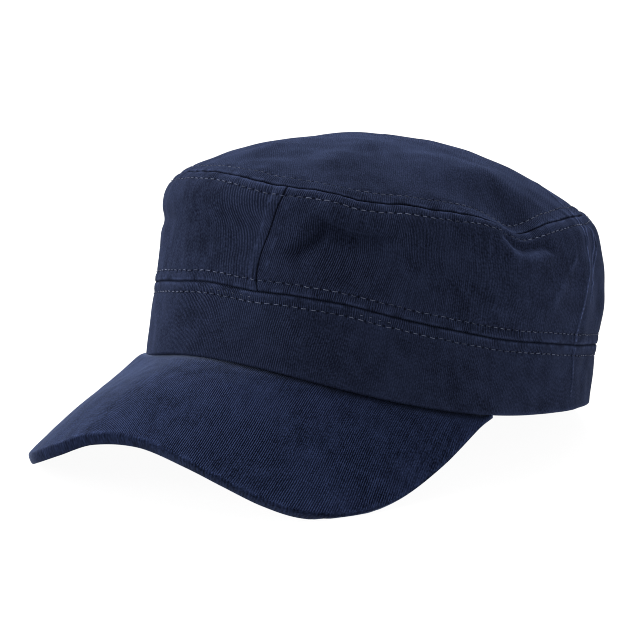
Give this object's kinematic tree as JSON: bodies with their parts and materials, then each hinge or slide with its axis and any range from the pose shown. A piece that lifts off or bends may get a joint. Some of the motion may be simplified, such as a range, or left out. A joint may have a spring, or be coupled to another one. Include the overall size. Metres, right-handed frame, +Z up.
{
  "type": "cadet cap",
  "caption": "Soft cadet cap of washed twill with a low slanting crown, a plain head band and a curved padded peak, standing by itself.",
  "frame": {"origin": "on the table under the middle of the whole cap", "axes": "+Z up, the peak towards -Y, the wearer's left towards +X"},
  "size_m": [0.1728, 0.2632, 0.1274],
  "materials": {
    "navy_twill": "matt washed cotton twill, navy, with paler diagonal wales"
  },
  "bodies": {
    "root": {"band": "navy_twill", "crown_front": "navy_twill", "crown_left": "navy_twill", "crown_right": "navy_twill", "crown_top": "navy_twill", "peak": "navy_twill"}
  },
  "joints": []
}
